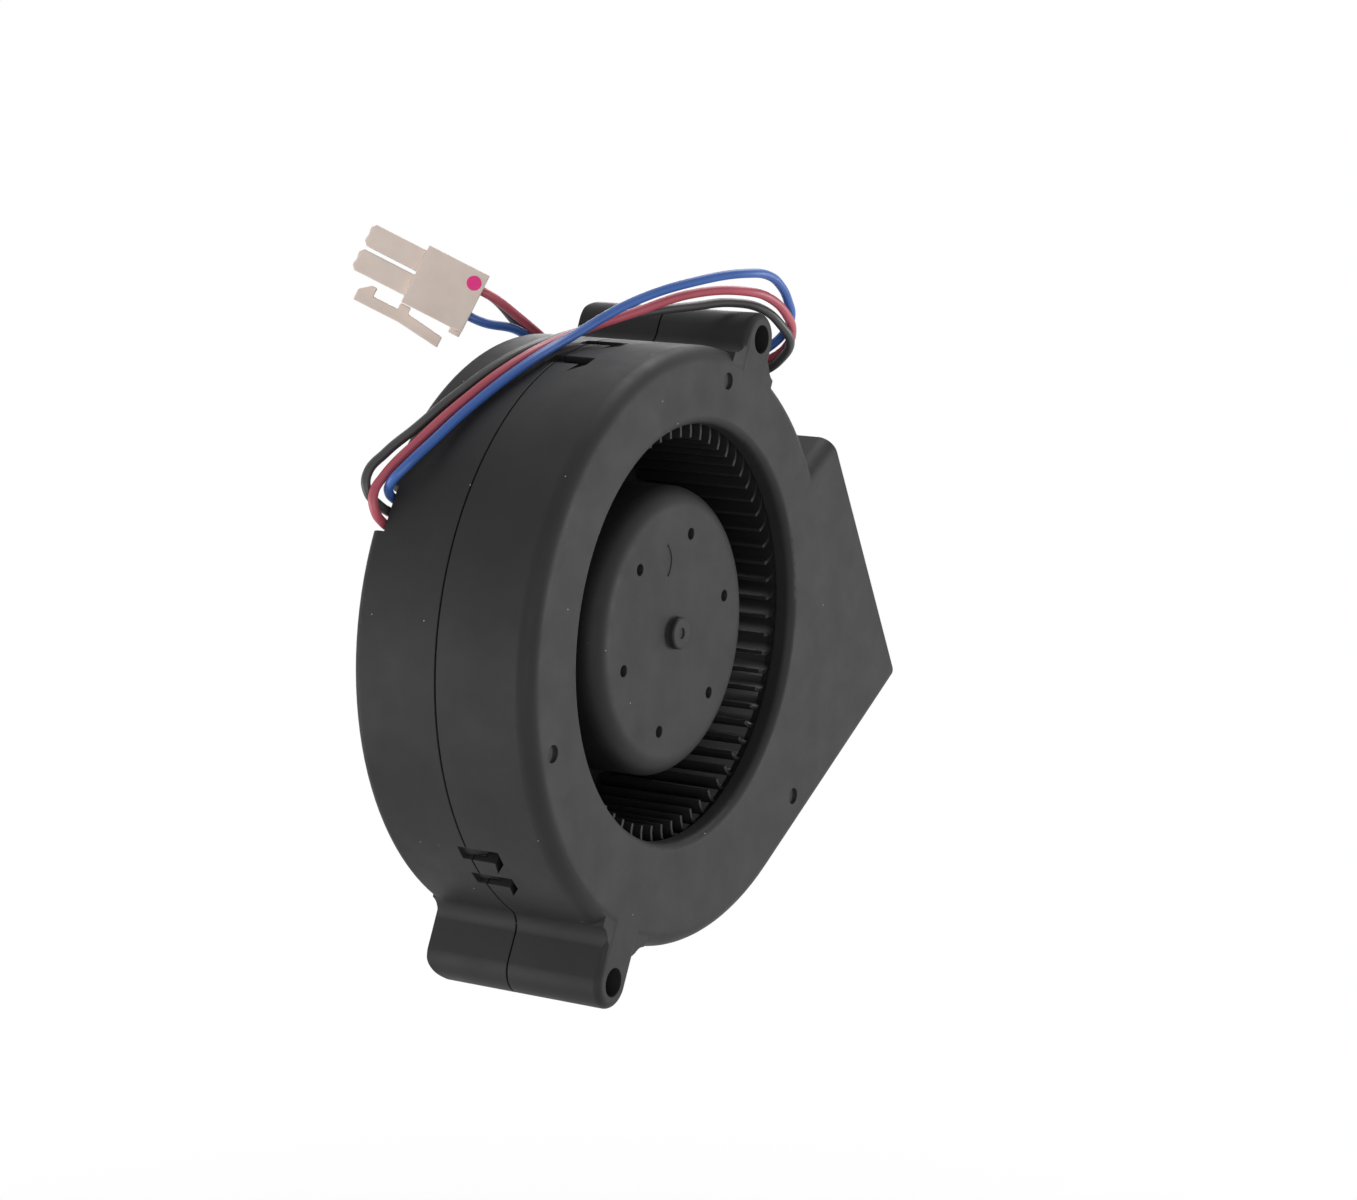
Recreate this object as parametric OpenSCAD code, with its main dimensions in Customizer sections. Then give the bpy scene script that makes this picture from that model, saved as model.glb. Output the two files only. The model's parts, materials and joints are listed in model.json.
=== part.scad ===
// Radial blower for a refrigerator evaporator: a two-shell scroll housing, a forward-curved
// impeller on an external-rotor brushless motor, and three leads that end in a plug.
// Frame: the rotor turns about Y, the inlet faces -Y, +Z is up.
// Origin: on the rotor axis, at the rear face that seats on the mounting plate.
// Inside the modules x is right, y is up and z is the height above the rear face, inlet side up.

/* [Scroll housing] */
// Depth of the housing from the rear face to the inlet face
housing_depth = 31; // [29:0.5:36]
// Wall thickness of both shells
wall = 2; // [1.6:0.1:2.4]
// Height of the parting line above the rear face
parting_height = 14.5; // [12:0.5:17]
// Width of the visible parting line
parting_gap = 0.25; // [0.1:0.05:0.5]
// Radius of the first scroll arc, about the rotor axis
scroll_r = 43.8; // [42.5:0.1:46]
// How much larger the second arc is, from a quarter turn after the outlet direction
first_growth = 2.05; // [1.6:0.05:2.6]
// How much larger again the third arc is, from half a turn after the outlet direction
second_growth = 1.85; // [1.4:0.05:2.4]
// Distance from the rotor axis to the outlet face
outlet_reach = 51.2; // [48:0.2:58]
// Height of the outlet's upper wall above the rotor axis, square to the outlet direction
outlet_top = 0.5; // [0.2:0.1:1.5]
// Radius at which the tongue of the scroll ends
tongue_r = 38.5; // [37.5:0.1:40]
// Rounding of the inlet-side outer edge
front_edge_r = 2.8; // [1:0.1:3.5]
// Rounding of the rear outer edge
rear_edge_r = 1.5; // [0.5:0.1:2.5]
// Radius of the inlet opening
inlet_r = 32; // [30.5:0.1:32.6]
// Rounding of the inlet's edge
inlet_edge_r = 1.5; // [0.5:0.1:1.8]
// Wall thickness of the inlet's collar
collar_t = 1.4; // [1:0.1:2]
// How far the collar reaches behind the front wall, towards the blades
collar_h = 1.2; // [0.6:0.1:1.6]
// Radius of the three moulding dimples in the inlet face
dimple_r = 1.3; // [0.8:0.1:2]
// Depth of the dimples
dimple_depth = 0.6; // [0.3:0.1:1]

/* [Mounting ears] */
// Radius of the screw holes
ear_hole_r = 2.2; // [1.6:0.1:2.6]
// Outer radius of an ear
ear_r = 4.1; // [3.8:0.1:4.8]
// Distance of the upper ear's hole from the rotor axis
upper_ear_dist = 47.7; // [46.8:0.1:50]
// Direction of the upper ear, counted from the outlet direction
upper_ear_angle = 36; // [32:0.2:40]
// Distance of the lower ear's hole from the rotor axis
lower_ear_dist = 53.9; // [52:0.1:56]
// Direction of the lower ear, counted from the outlet direction
lower_ear_angle = 217.1; // [212:0.1:222]
// Fillet between an ear and the scroll
ear_root_r = 3; // [1.5:0.1:4]
// Rounding of an ear's inlet-side edge
ear_edge_r = 1.2; // [0.4:0.1:1.6]
// Rounding of an ear's rear corner
ear_corner_r = 2.5; // [0.5:0.1:3]

/* [Snap joint] */
// Height of the rim that centres the two shells
rim_h = 2; // [1:0.1:3]
// Clearance between the rim, the hooks and the front shell
snap_clear = 0.15; // [0.1:0.05:0.25]
// Width of a snap slot
slot_w = 2.6; // [1.8:0.1:2.8]
// Length of a snap slot from the parting line
slot_l = 5.7; // [4.5:0.1:7]
// How far a slot reaches behind the parting line, into the rear shell
slot_back = 1.4; // [0.8:0.1:2]
// Length of the pointed flag beside a slot's closed end
flag_l = 2.4; // [1.6:0.1:2.6]
// Distance along the wall between the two slots of the upper pair
upper_pitch = 9.4; // [8:0.1:11]
// Distance along the wall between the two slots of the lower pair
lower_pitch = 6; // [5.8:0.1:8]
// Direction of the upper pair, counted from the outlet direction
upper_pair_angle = 71.2; // [68:0.2:74]
// Direction of the lower pair about its scroll arc, counted from the outlet direction
lower_pair_angle = 190.4; // [187:0.2:193]
// Thickness of the hook arm behind the slots
hook_t = 1.2; // [0.8:0.1:1.5]

/* [Impeller] */
// Number of blades
blade_count = 64; // [48:1:72]
// Inner radius of the blade ring
blade_in_r = 29.7; // [28.5:0.1:30.5]
// Outer radius of the blade ring
blade_out_r = 34; // [33:0.1:35]
// Thickness of a blade
blade_t = 0.6; // [0.5:0.05:0.9]
// How far a blade's tip leans forward, in the direction of rotation
blade_lean = 5; // [2:0.5:8]
// Running gap between the inlet's collar and the blade ends
blade_gap = 0.5; // [0.4:0.1:1]
// Thickness of the disc that carries the blades
disc_t = 1.5; // [1:0.1:2]
// Gap between the rear shell's lead channel and the disc
disc_gap = 1.3; // [0.8:0.1:2.5]
// Outer radius of the hub
hub_r = 22.3; // [21.8:0.1:24]
// Wall thickness of the hub's face
hub_face_t = 2.6; // [2:0.1:3.5]
// Rounding of the hub's edge
hub_edge_r = 3.5; // [2:0.1:4]
// Distance of the hub's face behind the inlet face
hub_setback = 3; // [2.5:0.1:5]
// Radius of the stub in the middle of the hub
stub_r = 2.5; // [2:0.05:3.5]
// Height of the stub
stub_h = 1.2; // [1:0.1:2.2]
// Rounding of the stub's edge
stub_edge_r = 0.4; // [0.2:0.05:0.6]
// Radius of the balance holes
balance_hole_r = 0.9; // [0.5:0.1:1.2]
// Radius of the circle of balance holes
balance_circle_r = 15.3; // [12:0.1:17]

/* [Rotor] */
// Outer radius of the steel rotor cup
cup_r = 20.2; // [19.8:0.1:20.2]
// Wall thickness of the rotor cup
cup_t = 1; // [0.8:0.1:1.2]
// Radial thickness of the magnet ring
magnet_t = 1.75; // [1.4:0.05:2]
// Air gap between the magnet and the stator
air_gap = 0.5; // [0.35:0.05:0.7]
// Radius of the shaft
shaft_r = 1.5; // [1.2:0.05:1.6]
// Radius of the brass bush that holds the shaft
bush_r = 3.2; // [2.9:0.1:3.6]
// Running and press-fit clearance between round parts
fit_clear = 0.02; // [0.01:0.01:0.04]

/* [Stator] */
// Length of the lamination stack
stack_l = 8; // [6:0.5:8.5]
// Number of poles
pole_count = 4; // [4:1:4]
// Width of a pole's neck
neck_w = 4.6; // [3.6:0.1:5]
// Half the angle that a pole shoe covers
shoe_half_angle = 37; // [32:0.5:39]
// Radial thickness of a pole shoe
shoe_t = 2.5; // [2:0.1:3]
// Thickness of the insulators
insulator_t = 0.8; // [0.6:0.1:1]
// Thickness of a coil's winding
coil_t = 2; // [1.5:0.1:2]
// Half the width of a coil
coil_half_w = 5.8; // [5:0.1:6.2]

/* [Bearings] */
// Outer radius of a ball bearing
bearing_r = 5; // [4.8:0.1:5.4]
// Width of a ball bearing
bearing_w = 4; // [3.5:0.1:4.2]
// Radius of a bearing ball
ball_r = 0.95; // [0.85:0.05:1]
// Number of balls in a bearing
ball_count = 7; // [6:1:8]
// Wall thickness of the bearing tube
tube_t = 1.2; // [1:0.1:1.5]
// Distance between the two bearings
bearing_gap = 5.4; // [4:0.2:5.6]

/* [Circuit board] */
// Thickness of the circuit board
board_t = 1.2; // [0.8:0.1:1.4]
// Outer radius of the circuit board
board_r = 16.4; // [15:0.1:17]
// Height of the posts under the board
post_h = 1.6; // [1.6:0.1:1.8]
// Radius of the posts
post_r = 1.2; // [0.8:0.1:1.5]

/* [Leads and plug] */
// Diameter of a lead
lead_d = 1.45; // [1.2:0.05:1.5]
// Width of the lead channel in the rear face
channel_w = 7.2; // [6.4:0.1:8]
// Depth of the lead channel
channel_depth = 2.4; // [2.2:0.1:2.8]
// Direction of the lead channel, counted from the outlet direction
channel_angle = 121.4; // [120.4:0.2:122.4]
// Pitch of the plug's contacts
contact_pitch = 4.2; // [4:0.1:4.4]
// How far the contact rows lie from the middle of the body, away from the latch
row_shift = 0.1; // [-0.2:0.1:0.4]
// Width and height of the plug's body
plug_w = 9.8; // [9.6:0.1:10.4]
// Length of the plug's body
plug_l = 10.4; // [9:0.1:12]
// Length of the four silos on the plug
silo_l = 9.2; // [7:0.1:10]
// Width of a silo
silo_w = 3.6; // [3.2:0.1:3.8]
// Radius of the contact cavities
cavity_r = 1.25; // [1.15:0.05:1.4]
// Straight run of a lead out of the plug
lead_straight = 2; // [1.5:0.1:5]
// Depth of a lead's end inside the plug
lead_seat = 3; // [2:0.1:4]
// Thickness of the latch lever
latch_t = 1.8; // [1.2:0.1:2]
// Width of the latch lever
latch_w = 4.2; // [3:0.1:5]
// Gap between the latch lever and the plug's body at the lever's web
latch_gap = 1.2; // [1:0.05:1.5]
// Slope of the lever's finger tail, away from the body
latch_tilt = 6.5; // [5:0.5:9]
// Height of the latch hook
hook_h = 1.4; // [0.8:0.05:1.6]

/* [Hidden] */
$fn = 96;
eps = 0.01;
over = 1;
// How far surfaces that run smoothly into each other cut in, so that they cross cleanly
ease = 0.01;

// Attitude of the housing: direction of the outlet from +X towards +Z. The housing's own
// x axis points along the outlet
outlet_angle = 27.6;
second_centre = [0, -first_growth];
second_r = scroll_r + first_growth;
third_centre = second_centre + [second_growth, 0];
third_r = second_r + second_growth;
straight_wall = third_centre.y - third_r;

function polar(r, a) = [r * cos(a), r * sin(a)];
upper_ear = polar(upper_ear_dist, upper_ear_angle);
lower_ear = polar(lower_ear_dist, lower_ear_angle);

// Dimples in the inlet face: distance from the rotor axis and direction from the outlet's
dimple_places = [[39, 46.2], [45.9, -72.9], [40.5, 167]];

// Snap pairs: centre and radius of the scroll arc, direction from that centre, slot pitch
snap_pairs = [[[0, 0], scroll_r, upper_pair_angle, upper_pitch],
    [third_centre, third_r, lower_pair_angle, lower_pitch]];
rim_inset = wall / 2;
barb_w = slot_w - 0.6;
barb_l = 2.5;
barb_sink = wall * 0.4;
barb_slope = wall * 0.3;

// Heights above the rear face, from the rear wall to the hub
board_z = wall + post_h;
channel_roof = channel_depth + 1.6;
disc_z = channel_roof + disc_gap + 0.2;
collar_foot = housing_depth - wall - collar_h;
blade_top = collar_foot - blade_gap;
hub_top = housing_depth - hub_setback;
cup_top = hub_top - hub_face_t - 0.1;
cup_foot = disc_z + disc_t + 0.2;
cup_in_r = cup_r - cup_t;
hub_in_r = cup_r + 0.12;
magnet_out_r = cup_in_r - 0.05;
magnet_in_r = magnet_out_r - magnet_t;
magnet_l = stack_l + 3;
stator_r = magnet_in_r - air_gap;
coil_foot = board_z + board_t + 0.9;
stack_z = coil_foot + coil_t + insulator_t;
stack_top = stack_z + stack_l;
shoe_in_r = stator_r - shoe_t;

// Shaft line
tube_in_r = bearing_r + fit_clear;
tube_r = bearing_r + tube_t;
boss_r = tube_r + 2;
boss_h = 5;
clip_t = 0.5;
clip_z = wall + 1;
rear_bearing_z = clip_z + clip_t + 0.05;
front_bearing_z = rear_bearing_z + bearing_w + bearing_gap;
front_bearing_top = front_bearing_z + bearing_w;
spring_r = 0.3;
bush_top = cup_top + 0.05;
bush_l = 4;
bush_foot = cup_top - cup_t - bush_l;
shaft_foot = wall + 0.5;
groove_r = shaft_r - 0.4;
ball_circle_r = (shaft_r + bearing_r) / 2 + 0.1;
race_half_gap = 0.75;
inner_race_clear = 0.3;
outer_race_clear = 0.05;

core_ring_r = tube_r + 2.2;
coil_in_r = core_ring_r + 0.3;
coil_out_r = shoe_in_r - 0.6;

// Plug: middle of its wire face, and its turn
plug_place = [3.6, 47.5, -10.4];
plug_turn = [29.5, -49, -44.5];
function turn_x(p, a) = [p.x, p.y * cos(a) - p.z * sin(a), p.y * sin(a) + p.z * cos(a)];
function turn_y(p, a) = [p.x * cos(a) + p.z * sin(a), p.y, -p.x * sin(a) + p.z * cos(a)];
function turn_z(p, a) = [p.x * cos(a) - p.y * sin(a), p.x * sin(a) + p.y * cos(a), p.z];
function in_plug(p) =
    plug_place + turn_z(turn_y(turn_x(p, plug_turn.x), plug_turn.y), plug_turn.z);
half_pitch = contact_pitch / 2;
contact_l = plug_l + silo_l - lead_seat - 1.5;
contact_r = cavity_r - 0.3;
web_t = 1.8;
latch_pivot = [web_t / 2 - plug_l, -plug_w / 2 - latch_gap];
latch_front = 7.7;
latch_tail = 7.2;

// Lead routes, from the circuit board through the channel, over the scroll, round the upper
// ear and behind the housing to the plug
blue_route = [
    [-9.6, 8.2, 2.8], [-12.6, 10, 2], [-16.1, 12.1, 1.2], [-34.1, 22.9, 1.1],
    [-36.6, 24.6, 1.3], [-38, 26.5, 2.7], [-37, 28.8, 4.6], [-32.6, 32.2, 6.5],
    [-26.7, 36.4, 8.8], [-16.7, 41.9, 12.2], [-6.4, 45.4, 14.4], [3, 49.7, 19],
    [11, 52.3, 25], [19.2, 53.1, 30], [23.6, 52.3, 31], [26.9, 50.4, 31.2],
    [29.7, 47.8, 30.9], [32.1, 45.1, 30.1], [33.4, 42.4, 28.3], [33.1, 39.8, 25.5],
    [32.4, 37, 20.8], [30.6, 35.6, 11.8], [28.7, 35.9, 2.7], [26.5, 35.8, -2.3],
    [22.6, 35.7, -3.7], [17.5, 37, -3.8], [12.5, 39.6, -4.2], [7.5, 43.3, -5]];
red_route = [
    [-11.8, 4.6, 2.8], [-14.8, 6.4, 2], [-18.2, 8.5, 1.2], [-36.2, 19.3, 1.1],
    [-38.1, 20.5, 1.1], [-39.8, 22.3, 1.1], [-39.7, 24.7, 0.7], [-37.4, 27.1, 0.9],
    [-32.1, 32.2, 3.9], [-26.1, 37, 7], [-16, 42.3, 10.5], [-5, 45.1, 12.8],
    [4.6, 47.8, 18], [12.7, 50.3, 24], [20.3, 50.1, 29.1], [25.2, 48.5, 30.5],
    [29.2, 45.6, 31], [32.1, 42.8, 30.3], [33.6, 40.1, 28.5], [34.1, 37.8, 25],
    [34.3, 36.2, 19.6], [33.1, 35.8, 10.9], [31.2, 36.4, 2.7], [28.6, 37.5, -1.7],
    [23.5, 37.6, -3.4], [16.5, 39.2, -3.4], [11.5, 42.3, -3.6], [7.3, 45.3, -4.5]];
black_route = [
    [-10.7, 6.4, 2.8], [-13.7, 8.2, 2], [-17.1, 10.3, 1.2], [-35.1, 21.1, 1.1],
    [-37.5, 22.8, 0.2], [-39, 25, -0.8], [-38.5, 27.4, -1.2], [-35.4, 30.3, 0],
    [-31.1, 33.4, 2.2], [-25.3, 37.7, 5.2], [-15.2, 42.7, 8.8], [-1.3, 45.1, 11.8],
    [8.1, 47.4, 18], [15.3, 48, 22.5], [20.6, 48.2, 26.1], [25.1, 46.9, 28.9],
    [28.6, 44, 30.4], [31.2, 41.2, 30.5], [32.7, 38.3, 28.1], [33.3, 35.9, 24.4],
    [32.9, 34.2, 18.3], [31.8, 33.9, 9.8], [30.4, 34.6, 1.9], [28, 35.3, -3.2],
    [24, 36, -5.2], [18, 38, -5.4], [13.5, 40.9, -5.8], [9.2, 44.3, -6.5]];

// Stands the blower up: the height above the rear face turns towards -Y
module upright() {
    rotate([90, 0, 0]) children();
}

// Stands the housing up, its outlet in the direction of the attitude
module housing_upright() {
    upright() rotate([0, 0, outlet_angle]) children();
}

// What is left outside a round corner of radius r whose centre is the origin
module corner_waste(r) {
    difference() {
        square(r + over);
        circle(r);
    }
}

// Half section of a round block with rounded outer edges
module edge_section(r, z0, z1, front_r, rear_r) {
    difference() {
        translate([0, z0]) square([r, z1 - z0]);
        if (front_r > 0) translate([r - front_r, z1 - front_r]) corner_waste(front_r);
        if (rear_r > 0) translate([r - rear_r, z0 + rear_r]) mirror([0, 1]) corner_waste(rear_r);
    }
}

// Section across a straight block with rounded edges, from x0 to x1
module bar_section(x0, x1, z0, z1, front_r, rear_r) {
    difference() {
        translate([x0, z0]) square([x1 - x0, z1 - z0]);
        if (front_r > 0) {
            translate([x1 - front_r, z1 - front_r]) corner_waste(front_r);
            translate([x0 + front_r, z1 - front_r]) mirror([1, 0]) corner_waste(front_r);
        }
        if (rear_r > 0) {
            translate([x1 - rear_r, z0 + rear_r]) mirror([0, 1]) corner_waste(rear_r);
            translate([x0 + rear_r, z0 + rear_r]) rotate(180) corner_waste(rear_r);
        }
    }
}

// The scroll's outer form: three arcs that grow by quarter turns, and the duct
module scroll_solid(z0, z1, front_r, rear_r) {
    rotate([0, 0, -90]) rotate_extrude(angle = 180)
        edge_section(scroll_r, z0, z1, front_r, rear_r);
    translate(second_centre) rotate([0, 0, 90]) rotate_extrude(angle = 90)
        edge_section(second_r, z0, z1, front_r, rear_r);
    translate(third_centre) rotate([0, 0, 180]) rotate_extrude(angle = 90)
        edge_section(third_r, z0, z1, front_r, rear_r);
    translate([third_centre.x, 0, 0]) rotate([90, 0, 90])
        linear_extrude(outlet_reach - third_centre.x)
            bar_section(straight_wall, outlet_top, z0, z1, front_r, rear_r);
}

module quarter_disc(r) {
    intersection() {
        circle(r);
        square(r + over);
    }
}

// Outline of the scroll inset from its outer form, with the tongue left standing
module scroll_outline(inset, reach) {
    circle(tongue_r);
    quarter_disc(scroll_r - inset);
    translate(second_centre) rotate(90) quarter_disc(second_r - inset);
    translate(third_centre) rotate(180) quarter_disc(third_r - inset);
    translate([third_centre.x, straight_wall + inset])
        square([reach - third_centre.x, outlet_top - straight_wall - 2 * inset]);
}

// The air space, open at the outlet
module scroll_space(inset, z0, z1) {
    translate([0, 0, z0]) linear_extrude(z1 - z0) scroll_outline(inset, outlet_reach + over);
}

// Tool for a round hole from z0 to z1, whose mouth at z1 has a rounded edge
module rounded_mouth(r, edge_r, z0, z1) {
    edge_z = z1 - edge_r + ease;
    rotate_extrude() difference() {
        translate([0, z0]) square([r + edge_r, z1 + over - z0]);
        translate([r + edge_r, edge_z]) circle(edge_r);
        translate([r, z0 - over]) square([edge_r + over, edge_z - z0 + over]);
    }
}

// One ear on a scroll arc, standing on the parting plane: a round tip and a straight web with
// their far edge rounded, and root fillets whose ends slope into the scroll's own rounding
module ear(centre, arc_r, hole, height, edge_r, root_edge_r) {
    reach = norm(hole - centre);
    top = height - ease;
    half_w = ear_r - ease;
    fillet_y = half_w + ear_root_r - ease;
    fillet_dist = arc_r + ear_root_r - ease;
    fillet_x = sqrt(pow(fillet_dist, 2) - pow(fillet_y, 2));
    touch = [fillet_x, fillet_y] * arc_r / fillet_dist;
    root_x = touch.x - root_edge_r - wall / 2;
    fillet_h = height - root_edge_r - wall / 10;
    fillet_turn = atan2(fillet_y - half_w / 2, fillet_x - root_x);
    translate(centre) rotate([0, 0, atan2(hole.y - centre.y, hole.x - centre.x)]) {
        translate([reach, 0, 0]) rotate_extrude() edge_section(ear_r, 0, top, edge_r, 0);
        translate([root_x, 0, 0]) rotate([90, 0, 90]) linear_extrude(reach - root_x)
            bar_section(-half_w, half_w, 0, top, edge_r, 0);
        for (side = [0, 1]) mirror([0, side, 0]) difference() {
            linear_extrude(top - wall / 10) difference() {
                translate([root_x, 0]) square([fillet_x - root_x, touch.y]);
                translate([fillet_x, fillet_y]) circle(ear_root_r);
            }
            translate([fillet_x, fillet_y, fillet_h]) rotate([0, 0, fillet_turn])
                rotate([0, 45, 0]) translate([-housing_depth, -housing_depth / 2, 0])
                    cube([2 * housing_depth, housing_depth, housing_depth]);
        }
    }
}

module ears(height, edge_r, root_edge_r) {
    ear([0, 0], scroll_r, upper_ear, height, edge_r, root_edge_r);
    ear(third_centre, third_r, lower_ear, height, edge_r, root_edge_r);
}

module ear_holes() {
    for (ear = [upper_ear, lower_ear])
        translate([ear.x, ear.y, -over]) cylinder(r = ear_hole_r, h = housing_depth + 2 * over);
}

// Rounds the rear corner at the tip of one ear
module ear_corner(centre, hole) {
    tip = norm(hole - centre) + ear_r;
    translate(centre) rotate([0, 0, atan2(hole.y - centre.y, hole.x - centre.x)])
        rotate([90, 0, 0]) linear_extrude(2 * ear_r + 2 * over, center = true)
            translate([tip - ear_corner_r, ear_corner_r]) mirror([0, 1])
                corner_waste(ear_corner_r);
}

// Places its children at both slots of both snap pairs, x outwards from the scroll's surface
module at_slots() {
    for (pair = snap_pairs, side = [-1, 1])
        translate(pair[0]) rotate([0, 0, pair[2] + side * pair[3] / 2 / pair[1] * 180 / PI])
            translate([pair[1], 0, parting_height]) children();
}

// A slot through the front shell's wall with a pointed flag at its closed end
module snap_slot() {
    translate([-wall - over, 0, 0]) rotate([90, 0, 90]) linear_extrude(wall + 2 * over)
        polygon([[-slot_w / 2, -over], [-slot_w / 2, slot_l], [slot_w / 2, slot_l],
            [slot_w / 2 + flag_l, slot_l - flag_l * 0.8], [slot_w / 2, slot_l - flag_l * 0.6],
            [slot_w / 2, -over]]);
}

// Spring arm inside the front shell, with a ramped barb in each slot
module snap_hooks() {
    for (pair = snap_pairs) {
        arm_angle = (pair[3] + 2 * slot_w) / pair[1] * 180 / PI;
        arm_out_r = pair[1] - wall - snap_clear;
        translate(pair[0]) rotate([0, 0, pair[2] - arm_angle / 2])
            rotate_extrude(angle = arm_angle) {
                translate([arm_out_r - hook_t, parting_height - 3])
                    square([hook_t, slot_l + 4.5]);
                translate([arm_out_r - hook_t, parting_height - 3])
                    square([hook_t + snap_clear + wall / 2, 3 - parting_gap]);
            }
    }
    arm_x = -wall - snap_clear - hook_t / 2;
    at_slots() rotate([90, 0, 0]) linear_extrude(barb_w, center = true)
        polygon([[arm_x, -slot_back - eps], [-barb_sink, -slot_back - eps],
            [-barb_sink, 0], [-barb_sink - barb_slope, barb_l], [arm_x, barb_l]]);
}

// Places its children along the lead channel, x outwards from the rotor axis
module along_channel() {
    rotate([0, 0, channel_angle]) children();
}

module front_shell() {
    foot = parting_height + parting_gap;
    color([0.19, 0.19, 0.2]) housing_upright() difference() {
        union() {
            scroll_solid(foot, housing_depth, front_edge_r, 0);
            translate([0, 0, foot]) ears(housing_depth - foot, ear_edge_r, front_edge_r);
        }
        difference() {
            scroll_space(wall, parting_height - over, housing_depth - wall);
            translate([0, 0, collar_foot]) cylinder(r = inlet_r + collar_t, h = collar_h + over);
        }
        scroll_space(rim_inset, parting_height - over, parting_height + rim_h + snap_clear);
        rounded_mouth(inlet_r, inlet_edge_r, collar_foot - over, housing_depth);
        for (place = dimple_places) rotate([0, 0, place[1]])
            translate([place[0], 0, housing_depth - dimple_depth])
                cylinder(r = dimple_r, h = dimple_depth + over);
        at_slots() snap_slot();
        ear_holes();
    }
}

module rear_shell() {
    rim_outer = rim_inset + snap_clear;
    color([0.18, 0.18, 0.19]) housing_upright() {
        difference() {
            union() {
                difference() {
                    union() {
                        scroll_solid(0, parting_height, 0, rear_edge_r);
                        translate([0, 0, parting_height]) mirror([0, 0, 1])
                            ears(parting_height, 0, rear_edge_r);
                        translate([0, 0, parting_height - over])
                            linear_extrude(rim_h + over) scroll_outline(rim_outer, outlet_reach);
                    }
                    scroll_space(wall, wall, parting_height + rim_h + over);
                    at_slots() translate([-wall - over, -slot_w / 2, -slot_back])
                        cube([wall + 2 * over, slot_w, slot_back + rim_h + over]);
                }
                translate([0, 0, wall - eps]) cylinder(r = boss_r, h = boss_h + eps);
                along_channel() translate([board_r + 2, -channel_w / 2 - wall / 2, wall / 2])
                    cube([scroll_r - board_r - 2 - wall / 2, channel_w + wall,
                        channel_roof - wall / 2]);
                for (side = [-1, 0, 1])
                    rotate([0, 0, channel_angle + 180 + side * 75])
                        translate([(boss_r + board_r) / 2, 0, wall - eps])
                            cylinder(r = post_r, h = post_h + eps);
                snap_hooks();
            }
            along_channel() translate([boss_r + 4, -channel_w / 2, -over])
                cube([scroll_r, channel_w, channel_depth + over]);
            translate([0, 0, wall]) cylinder(r = tube_r + fit_clear, h = boss_h + over);
            ear_holes();
            ear_corner([0, 0], upper_ear);
            ear_corner(third_centre, lower_ear);
        }
    }
}

// One blade's outline: its camber leans forward with the cube of the way out
module blade_outline() {
    steps = [0, 0.25, 0.5, 0.75, 1];
    half_angle = blade_t / 2 * 180 / PI;
    function blade_r(s) = blade_in_r + (blade_out_r - blade_in_r) * s;
    front = [for (s = steps) polar(blade_r(s), blade_lean * pow(s, 3) + half_angle / blade_r(s))];
    back = [for (i = [4:-1:0])
        polar(blade_r(steps[i]), blade_lean * pow(steps[i], 3) - half_angle / blade_r(steps[i]))];
    polygon(concat(back, front));
}

module impeller() {
    ring_w = 1.2;
    color([0.17, 0.17, 0.18]) upright() difference() {
        union() {
            rotate_extrude() difference() {
                edge_section(hub_r, disc_z, hub_top, hub_edge_r, 0);
                translate([-over, disc_z - over])
                    square([hub_in_r + over, hub_top - hub_face_t - disc_z + over]);
            }
            rotate_extrude() translate([hub_r - wall / 2, disc_z])
                square([blade_out_r + 0.3 - hub_r + wall / 2, disc_t]);
            translate([0, 0, disc_z + disc_t / 2])
                linear_extrude(blade_top - disc_z - disc_t / 2)
                    for (i = [0:blade_count - 1]) rotate(360 * i / blade_count) blade_outline();
            rotate_extrude() translate([blade_out_r - ring_w + 0.3, blade_top - ring_w])
                square([ring_w, ring_w]);
            rotate_extrude() edge_section(stub_r, hub_top - eps, hub_top + stub_h, stub_edge_r, 0);
        }
        for (i = [0:5]) rotate([0, 0, 11.8 + 60 * i])
            translate([balance_circle_r, 0, hub_top - hub_face_t / 2])
                cylinder(r = balance_hole_r, h = hub_face_t);
        translate([0, 0, hub_top + stub_h - 0.3]) cylinder(r = stub_r / 3, h = over);
    }
}

module rotor_cup() {
    color([0.62, 0.63, 0.65]) upright() rotate_extrude() difference() {
        edge_section(cup_r, cup_foot, cup_top, cup_t, 0);
        translate([-over, cup_foot - over])
            square([cup_in_r + over, cup_top - cup_t - cup_foot + over]);
        translate([-over, cup_foot]) square([bush_r * 0.75 + fit_clear + over, cup_top]);
    }
}

module magnet_ring() {
    color([0.25, 0.24, 0.23]) upright() rotate_extrude()
        translate([magnet_in_r, stack_z - 1]) square([magnet_t, magnet_l]);
}

module shaft() {
    color([0.75, 0.76, 0.78]) upright() rotate_extrude() difference() {
        translate([0, shaft_foot]) square([shaft_r, cup_top - shaft_foot]);
        translate([groove_r, clip_z]) square([over, clip_t]);
    }
}

module shaft_bush() {
    color([0.76, 0.6, 0.28]) upright() rotate_extrude() difference() {
        union() {
            translate([0, bush_foot]) square([bush_r, bush_l]);
            translate([0, bush_foot]) square([bush_r * 0.75, bush_top - bush_foot]);
        }
        translate([-over, bush_foot - over])
            square([shaft_r + fit_clear + over, bush_l + 2 * cup_t + 2 * over]);
    }
}

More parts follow.
